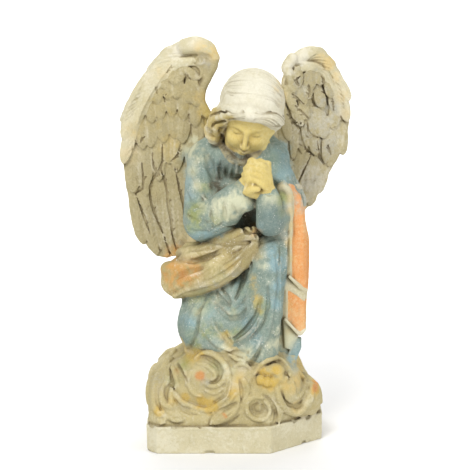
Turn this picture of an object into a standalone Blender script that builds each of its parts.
# Kneeling, praying angel on a mound of carved scrolls over a low plinth, cast in one piece.
# Forms are laid out in millimetres: x to the statue's left hand, y to its back, z up from the floor.
from math import cos, hypot, pi, radians, sin

import bmesh
import bpy
from mathutils import Euler, Matrix, Vector
from mathutils.bvhtree import BVHTree

MM = 0.001
CENTRE = Vector((-1.5, -11.0, 0.0))

PLINTH_HEIGHT = 37.0
PLINTH_FRONT = -105.0
PLINTH_BACK = 85.0
PLINTH_LEFT = -121.0
PLINTH_RIGHT = 122.0
PLINTH_WIDE_CHAMFER = 73.0
PLINTH_SMALL_CHAMFER = 14.0
PLINTH_EDGE = 2.0

FEATHER_THICKNESS = 7.5
LAYER_RISE = 4.0

HEAD_AT = Vector((25.0, -38.0, 450.0))
HEAD_BOW = 38.0
HEAD_TILT = 8.0
HEAD_TURN = -10.0

VOXEL = 2.3
TRIANGLES = 9300


def clear_scene():
    for old in list(bpy.data.objects):
        bpy.data.objects.remove(old, do_unlink=True)


def smooth_path(points, count):
    """Catmull-Rom curve through tuples of any length, read at count even steps."""
    last = len(points) - 1
    out = []
    for step in range(count):
        t = last * step / (count - 1)
        i = min(int(t), last - 1)
        f = t - i
        b, c = points[i], points[i + 1]
        a = points[i - 1] if i > 0 else [2 * p - q for p, q in zip(b, c)]
        d = points[i + 2] if i + 2 <= last else [2 * p - q for p, q in zip(c, b)]
        out.append(tuple(
            0.5 * (2 * q + (r - p) * f + (2 * p - 5 * q + 4 * r - s) * f ** 2 + (3 * q - p - 3 * r + s) * f ** 3)
            for p, q, r, s in zip(a, b, c, d)
        ))
    return out


def ball(form, at, radii, turned=None):
    """Ellipsoid with the given half sizes."""
    place = Matrix.Translation(Vector(at))
    if turned is not None:
        place = place @ turned.to_4x4()
    place = place @ Matrix.Diagonal(Vector((*radii, 1.0)))
    bmesh.ops.create_icosphere(form, subdivisions=3, radius=1.0, matrix=place)


def hull(form, spheres, flat=None):
    """Convex skin round several spheres; flat squeezes it along one axis about its middle."""
    fresh = bmesh.new()
    for at, radius in spheres:
        bmesh.ops.create_icosphere(fresh, subdivisions=2, radius=radius, matrix=Matrix.Translation(Vector(at)))
    made = bmesh.ops.convex_hull(fresh, input=fresh.verts[:])
    inner = [e for e in made["geom_interior"] if isinstance(e, bmesh.types.BMVert)]
    bmesh.ops.delete(fresh, geom=inner, context="VERTS")
    if flat is not None:
        axis, factor = Vector(flat[0]).normalized(), flat[1]
        middle = sum((Vector(at) for at, _ in spheres), Vector()) / len(spheres)
        for vert in fresh.verts:
            line = middle if len(spheres) == 1 else nearest_on_chain(vert.co, [Vector(at) for at, _ in spheres])
            vert.co += axis * (vert.co - line).dot(axis) * (factor - 1.0)
    bmesh.ops.recalc_face_normals(fresh, faces=fresh.faces[:])
    skin = bpy.data.meshes.new("skin")
    fresh.to_mesh(skin)
    fresh.free()
    form.from_mesh(skin)
    bpy.data.meshes.remove(skin)


def nearest_on_chain(point, chain):
    best = chain[0]
    for start, end in zip(chain[:-1], chain[1:]):
        line = end - start
        t = min(max((point - start).dot(line) / max(line.length_squared, 1e-9), 0.0), 1.0)
        here = start + line * t
        if (here - point).length < (best - point).length:
            best = here
    return best


def limb(form, points, radii, flat=None, smooth=0):
    """Chain of round cones from point to point."""
    rows = [(*p, r) for p, r in zip(points, radii)]
    if smooth:
        rows = smooth_path(rows, smooth)
    for start, end in zip(rows[:-1], rows[1:]):
        hull(form, [(start[:3], start[3]), (end[:3], end[3])], flat)


def surface_tree(form):
    return BVHTree.FromBMesh(form)


def fold(form, tree, path, radii, lift=0.0, count=7, side=(0, 1, 0)):
    """Rib of cloth lying on the surface; path holds (x, z) seen from the front, or (y, z) from a side."""
    view = Vector(side)
    rows = []
    rib = [(*p, r) for p, r in zip(path, radii)]
    for across, up, radius in smooth_path(rib, count):
        if abs(view.y) > 0.5:
            start = Vector((across, 0.0, up)) - view * 400.0
        else:
            start = Vector((0.0, across, up)) - view * 400.0
        hit = tree.ray_cast(start, view)[0]
        if hit is not None:
            rows.append((hit - view * lift, radius))
    for start, end in zip(rows[:-1], rows[1:]):
        hull(form, [start, end])


def body(form):
    """Trunk, shoulders, the kneeling leg on the left and the raised leg on the right, under one robe."""
    ball(form, (0, 12, 232), (66, 58, 58))
    ball(form, (8, 6, 290), (60, 49, 60))
    ball(form, (14, 4, 358), (62, 47, 62))
    limb(form, [(-34, 4, 396), (18, 8, 414), (66, 4, 402)], [28, 29, 25])
    limb(form, [(5, 22, 350), (5, 30, 260), (0, 34, 140)], [50, 56, 58])
    limb(form, [(-26, -5, 222), (-30, -44, 172)], [48, 45])
    limb(form, [(-30, -44, 160), (-34, 10, 146), (-30, 60, 140)], [44, 42, 34])
    limb(form, [(34, 0, 240), (50, -78, 262)], [46, 33])
    limb(form, [(50, -80, 262), (50, -80, 200), (48, -80, 128)], [33, 30, 29])
    limb(form, [(62, -30, 250), (58, -40, 128)], [32, 29])
    limb(form, [(6, -50, 215), (12, -62, 120)], [36, 40])
    limb(form, [(-14, 24, 426), (-30, 36, 370), (-34, 36, 285)], [24, 27, 22])
    limb(form, [(44, 24, 426), (52, 34, 370), (54, 34, 300)], [22, 25, 22])


def arms(form):
    limb(form, [(-36, 0, 394), (-42, -20, 350), (-42, -42, 318)], [30, 29, 28])
    limb(form, [(-42, -46, 312), (-10, -72, 330), (14, -88, 356)], [27, 23, 18])
    limb(form, [(64, 0, 392), (67, -38, 352), (60, -80, 326)], [26, 25, 23])
    limb(form, [(57, -92, 322), (52, -98, 350)], [22, 18])
    limb(form, [(20, -4, 412), (26, -24, 445)], [24, 23])


def hands(form):
    """Both hands folded together in front of the chest."""
    limb(form, [(14, -90, 356), (28, -96, 374)], [13, 15])
    limb(form, [(52, -98, 354), (46, -98, 376)], [13, 14])
    ball(form, (34, -98, 386), (19, 16, 26))
    for finger in range(4):
        start = (20 + 4 * finger, -106, 364 + 7 * finger)
        middle = (34 + 3 * finger, -113, 374 + 8 * finger)
        end = (46 + finger, -107, 378 + 8 * finger)
        limb(form, [start, middle, end], [5.4, 5.4, 4.8])


def head_turn():
    return Euler((0, radians(HEAD_TILT), 0)).to_matrix(), Euler((radians(HEAD_BOW), 0, 0)).to_matrix(), Euler(
        (0, 0, radians(HEAD_TURN))).to_matrix()


def on_head(points, turned):
    return [tuple(HEAD_AT + turned @ Vector(p)) for p in points]


def head(form):
    """Bowed head: face, hair cap, front roll and the locks that fall to the shoulder."""
    tilt, bow, turn = head_turn()
    turned = turn @ bow @ tilt
    place = on_head([(0, 8, 14), (0, -14, -12), (3, 12, 19)], turned)
    ball(form, place[0], (37, 46, 47), turned)
    ball(form, place[1], (29, 30, 38), turned)
    ball(form, place[2], (48, 53, 50), turned)
    limb(form, on_head([(0, -44, -4), (0, -49, -14)], turned), [4, 5])
    limb(form, on_head([(-11, -40, -26), (0, -44, -28), (11, -40, -26)], turned), [4, 5, 4])
    ball(form, on_head([(0, -36, -42)], turned)[0], (11, 10, 9), turned)
    roll_right = on_head([(2, -35, 38), (22, -35, 32), (38, -20, 20), (43, 0, 0)], turned)
    roll_left = on_head([(0, -35, 38), (-20, -35, 32), (-36, -18, 14), (-43, 0, -8), (-44, 4, -30)], turned)
    limb(form, roll_right, [8, 10, 11, 11], smooth=6)
    limb(form, roll_left, [8, 10, 11, 12, 13], smooth=8)
    limb(form, [(-20, -34, 440), (-30, -28, 420), (-24, -26, 402)], [14, 13, 10], smooth=4)
    limb(form, on_head([(0, 36, 10), (2, 42, -24), (0, 36, -56)], turned), [38, 34, 22], smooth=4)


def sash(form):
    """Wide gathered sash across the lap, and the cloth that falls from the raised arm to the hem."""
    limb(form, [(-66, 12, 236), (-68, -24, 228), (-40, -62, 238), (0, -86, 256), (30, -100, 284)],
         [26, 27, 24, 19, 10], smooth=8)
    limb(form, [(-62, 0, 258), (-36, -52, 268), (4, -78, 276), (34, -96, 290)], [15, 15, 13, 9], smooth=6)
    hull(form, [((70, -66, 384), 8), ((68, 6, 392), 14), ((85, -62, 330), 11), ((80, 22, 330), 16),
                ((84, -70, 178), 10), ((74, 24, 176), 20)])
    hull(form, [((74, -74, 186), 8), ((80, -66, 156), 6), ((66, -60, 200), 12)])
    limb(form, [(78, -68, 376), (86, -70, 320), (86, -78, 240), (84, -78, 176)], [8, 9, 10, 9])


def folds(form):
    """Larger folds of the robe, standing on the surface of the figure."""
    tree = surface_tree(form)
    fold(form, tree, [(56, 286), (62, 230), (66, 150)], [5, 5, 4])
    fold(form, tree, [(34, 280), (22, 220), (34, 150)], [5, 6, 5])
    fold(form, tree, [(44, 272), (40, 210), (48, 145)], [4, 5, 5])
    fold(form, tree, [(14, 250), (-8, 196), (10, 140)], [5, 6, 5])
    fold(form, tree, [(-6, 240), (-36, 200), (-56, 172), (-62, 146)], [5, 6, 5, 4])
    fold(form, tree, [(-28, 222), (-14, 180), (14, 158)], [4, 5, 4])
    fold(form, tree, [(-60, 206), (-44, 164), (-20, 142)], [4, 5, 4])
    fold(form, tree, [(-20, 412), (-8, 372), (2, 336)], [4, 4, 3])
    fold(form, tree, [(2, 404), (6, 372), (6, 340)], [3.5, 4, 3])
    fold(form, tree, [(-66, 380), (-52, 344), (-30, 318)], [4, 4, 3])
    fold(form, tree, [(-62, 330), (-34, 318), (-6, 330)], [4, 5, 3])
    fold(form, tree, [(-84, 240), (-40, 222), (2, 240)], [4, 5, 4])
    for across in (-46, -22, 4, 30, 54):
        spread = 1.12 if across < 0 else 1.05
        fold(form, tree, [(across * 0.9, 392), (across, 300), (across * spread, 160)], [5, 6, 7], side=(0, -1, 0))


def left_sheet(x, z):
    """Depth of the left wing's middle surface at x, z."""
    out = min(max((-x - 10) / 150, 0.0), 1.3)
    up = (z - 400) / 150
    return 46 + 46 * out - 10 * out ** 2 - 8 * min(max(up, 0), 1) ** 2 + 6 * min(max(-up, 0), 1)


def right_sheet(x, z):
    """Depth of the right wing, which sweeps back further."""
    out = min(max((x - 40) / 120, -0.3), 1.3)
    up = (z - 400) / 150
    return 44 + 66 * out - 10 * max(out, 0) ** 2 - 6 * min(max(up, 0), 1) ** 2 + 4 * min(max(-up, 0), 1)


def feathers(form, sheet, roots, tips, count, width, lift):
    """A row of overlapping feathers, lift proud of the wing's middle surface."""
    for root, tip in zip(smooth_path(roots, count), smooth_path(tips, count)):
        length = hypot(tip[0] - root[0], tip[1] - root[1])
        near_tip = 1 - 0.9 * width / length
        spots = [(0.0, 0.75), (0.5, 1.0), (near_tip, 0.92)]
        chain = []
        for along, part in spots:
            x = root[0] + (tip[0] - root[0]) * along
            z = root[1] + (tip[1] - root[1]) * along
            proud = lift + LAYER_RISE * along
            chain.append(((x, sheet(x, z) - proud, z), width * part))
        slope = (sheet(tip[0] + 5, tip[1]) - sheet(tip[0] - 5, tip[1])) / 10
        facing = (-slope, 1.0, 0.0)
        hull(form, chain, flat=(facing, FEATHER_THICKNESS / width))


def left_wing(form):
    sheet = left_sheet
    feathers(form, sheet, [(-52, 420), (-84, 430), (-116, 436), (-144, 430)],
             [(-66, 254), (-90, 234), (-119, 247), (-144, 296), (-157, 342)], 7, 15, -4)
    feathers(form, sheet, [(-50, 420), (-84, 430), (-116, 436), (-144, 430)],
             [(-64, 256), (-90, 237), (-119, 250), (-144, 298), (-156, 342)], 8, 13, 1)
    feathers(form, sheet, [(-50, 440), (-80, 456), (-112, 462), (-144, 456)],
             [(-58, 330), (-86, 350), (-112, 356), (-142, 346), (-160, 372)], 7, 13, 4)
    feathers(form, sheet, [(-58, 480), (-80, 486), (-108, 490), (-140, 474)],
             [(-54, 398), (-80, 402), (-110, 410), (-158, 404)], 7, 12, 5)
    feathers(form, sheet, [(-44, 516), (-70, 520), (-98, 522), (-128, 492)],
             [(-56, 446), (-76, 452), (-104, 458), (-150, 430)], 7, 12, 6)
    feathers(form, sheet, [(-38, 530), (-62, 542), (-90, 534), (-118, 506)],
             [(-46, 486), (-66, 494), (-96, 498), (-132, 466)], 6, 11, 7)
    feathers(form, sheet, [(-34, 508), (-32, 530), (-52, 544), (-78, 540), (-104, 522), (-124, 496), (-138, 474)],
             [(-30, 536), (-54, 548), (-80, 541), (-106, 524), (-127, 497), (-144, 469), (-160, 438)], 9, 10, 10)


def right_wing(form):
    sheet = right_sheet
    feathers(form, sheet, [(74, 400), (97, 412), (130, 426)], [(54, 262), (76, 284), (99, 312), (125, 340)], 6, 14, -4)
    feathers(form, sheet, [(74, 400), (97, 412), (130, 426)], [(52, 264), (74, 286), (98, 314), (125, 342)], 6, 13, 1)
    feathers(form, sheet, [(70, 430), (96, 450), (136, 452)], [(80, 352), (100, 366), (127, 368), (150, 386)], 6, 12, 4)
    feathers(form, sheet, [(72, 480), (98, 490), (140, 474)], [(78, 398), (102, 408), (130, 410), (154, 414)], 6, 11, 5)
    feathers(form, sheet, [(76, 512), (100, 520), (136, 496)], [(80, 446), (102, 456), (128, 456), (152, 440)], 6, 11, 6)
    feathers(form, sheet, [(80, 522), (102, 526), (132, 508)], [(84, 486), (104, 492), (134, 478)], 5, 10, 7)
    feathers(form, sheet, [(78, 500), (80, 520), (97, 530), (119, 523), (137, 504), (147, 484)],
             [(80, 526), (97, 533), (119, 527), (138, 507), (151, 480), (162, 446)], 8, 9, 10)


def mound(form):
    """Heap of clouds and leaves under the knees."""
    lobes = [
        ((-66, -44, 84), (48, 46, 42)), ((-30, -48, 98), (50, 40, 40)), ((0, -58, 78), (50, 42, 48)),
        ((50, -50, 86), (46, 42, 42)), ((-60, 40, 80), (52, 42, 50)), ((20, 35, 90), (66, 48, 50)),
        ((76, 18, 75), (36, 52, 40)), ((-90, -50, 72), (30, 46, 38)), ((96, -30, 68), (25, 40, 28)),
        ((-86, 20, 70), (34, 52, 40)), ((-76, -66, 62), (36, 34, 28)), ((0, 40, 70), (90, 42, 40)),
    ]
    bed = plinth_slab(0.975, 30.0, 58.0, 9.0)
    skin = bpy.data.meshes.new("bed")
    bed.to_mesh(skin)
    bed.free()
    form.from_mesh(skin)
    bpy.data.meshes.remove(skin)
    for at, radii in lobes:
        ball(form, at, radii)
    tree = surface_tree(form)

    def ring(middle, start_angle, turns, outer, inner, thick, lift):
        count = int(12 * turns) + 2
        path = []
        for step in range(count):
            t = step / (count - 1)
            angle = radians(start_angle) + 2 * pi * turns * t
            radius = outer + (inner - outer) * t
            path.append((middle[0] + radius * cos(angle), middle[1] + radius * sin(angle)))
        fold(form, tree, path, [thick] * count, lift, count)

    ring((-34, 82), 140, 0.85, 31, 27, 5, 0)
    ring((-34, 82), 100, 0.9, 18, 8, 4.5, 1)
    ring((27, 56), 300, 1.3, 25, 6, 4.5, 0)
    ring((66, 82), 20, 0.8, 26, 20, 5, 0)
    fold(form, tree, [(28, 110), (46, 124), (66, 116)], [5, 6, 4])
    fold(form, tree, [(2, 76), (-14, 58), (-28, 46)], [5, 4.5, 4])
    fold(form, tree, [(-98, 110), (-90, 84), (-88, 56)], [5, 6, 5])
    for toe in range(4):
        ball(form, (42 + 7 * toe, -94, 93 + 2 * (toe % 2)), (5, 7, 5))


def plinth_slab(shrink, low, high, edge):
    """Slab with one wide chamfer at the front, small ones at the other corners and a bevelled top rim."""
    wide, small = PLINTH_WIDE_CHAMFER, PLINTH_SMALL_CHAMFER
    plan = [
        (PLINTH_LEFT + small, PLINTH_FRONT), (PLINTH_RIGHT - wide, PLINTH_FRONT),
        (PLINTH_RIGHT, PLINTH_FRONT + wide), (PLINTH_RIGHT, PLINTH_BACK - small),
        (PLINTH_RIGHT - small, PLINTH_BACK), (PLINTH_LEFT + small, PLINTH_BACK),
        (PLINTH_LEFT, PLINTH_BACK - small), (PLINTH_LEFT, PLINTH_FRONT + small),
    ]
    slab = bmesh.new()
    base = slab.faces.new([slab.verts.new((x * shrink, y * shrink, low)) for x, y in plan])
    raised = bmesh.ops.extrude_face_region(slab, geom=[base])
    top = [e for e in raised["geom"] if isinstance(e, bmesh.types.BMVert)]
    bmesh.ops.translate(slab, verts=top, vec=(0.0, 0.0, high - low))
    bmesh.ops.recalc_face_normals(slab, faces=slab.faces[:])
    rims = [e for e in slab.edges if all(abs(v.co.z - high) < 0.01 for v in e.verts)]
    bmesh.ops.bevel(slab, geom=rims, offset=edge, segments=3 if edge > 5 else 1, profile=0.5, affect="EDGES")
    return slab


def finish(form, name):
    """Turns a form in millimetres into an object in metres, centred over the origin."""
    form.transform(Matrix.Scale(MM, 4) @ Matrix.Translation(-CENTRE))
    mesh = bpy.data.meshes.new(name)
    form.to_mesh(mesh)
    form.free()
    made = bpy.data.objects.new(name, mesh)
    bpy.context.scene.collection.objects.link(made)
    return made


def painted_cement():
    """Weathered painted cement: the robe's blue grey stands for the whole cast."""
    material = bpy.data.materials.new("painted_cement")
    material.use_nodes = True
    shader = material.node_tree.nodes["Principled BSDF"]
    shader.inputs["Base Color"].default_value = (0.46, 0.42, 0.31, 1.0)
    shader.inputs["Roughness"].default_value = 0.9
    shader.inputs["Metallic"].default_value = 0.0
    return material


def fuse(statue):
    """Melts the overlapping forms into one skin and thins it out."""
    melt = statue.modifiers.new("melt", "REMESH")
    melt.mode = "VOXEL"
    melt.voxel_size = VOXEL * MM
    calm = statue.modifiers.new("calm", "SMOOTH")
    calm.factor = 0.5
    calm.iterations = 2
    graph = bpy.context.evaluated_depsgraph_get()
    dense = len(statue.evaluated_get(graph).data.polygons) * 2
    thin = statue.modifiers.new("thin", "DECIMATE")
    thin.ratio = TRIANGLES / dense


def build():
    clear_scene()
    form = bmesh.new()
    body(form)
    arms(form)
    hands(form)
    sash(form)
    folds(form)
    head(form)
    left_wing(form)
    right_wing(form)
    mound(form)
    statue = finish(form, "angel_statue")
    fuse(statue)
    slab = finish(plinth_slab(1.0, 0.0, PLINTH_HEIGHT, PLINTH_EDGE), "plinth_form")
    slab.hide_render = True
    slab.display_type = "WIRE"
    join = statue.modifiers.new("plinth", "BOOLEAN")
    join.operation = "UNION"
    join.solver = "EXACT"
    join.object = slab
    statue.data.materials.append(painted_cement())


build()
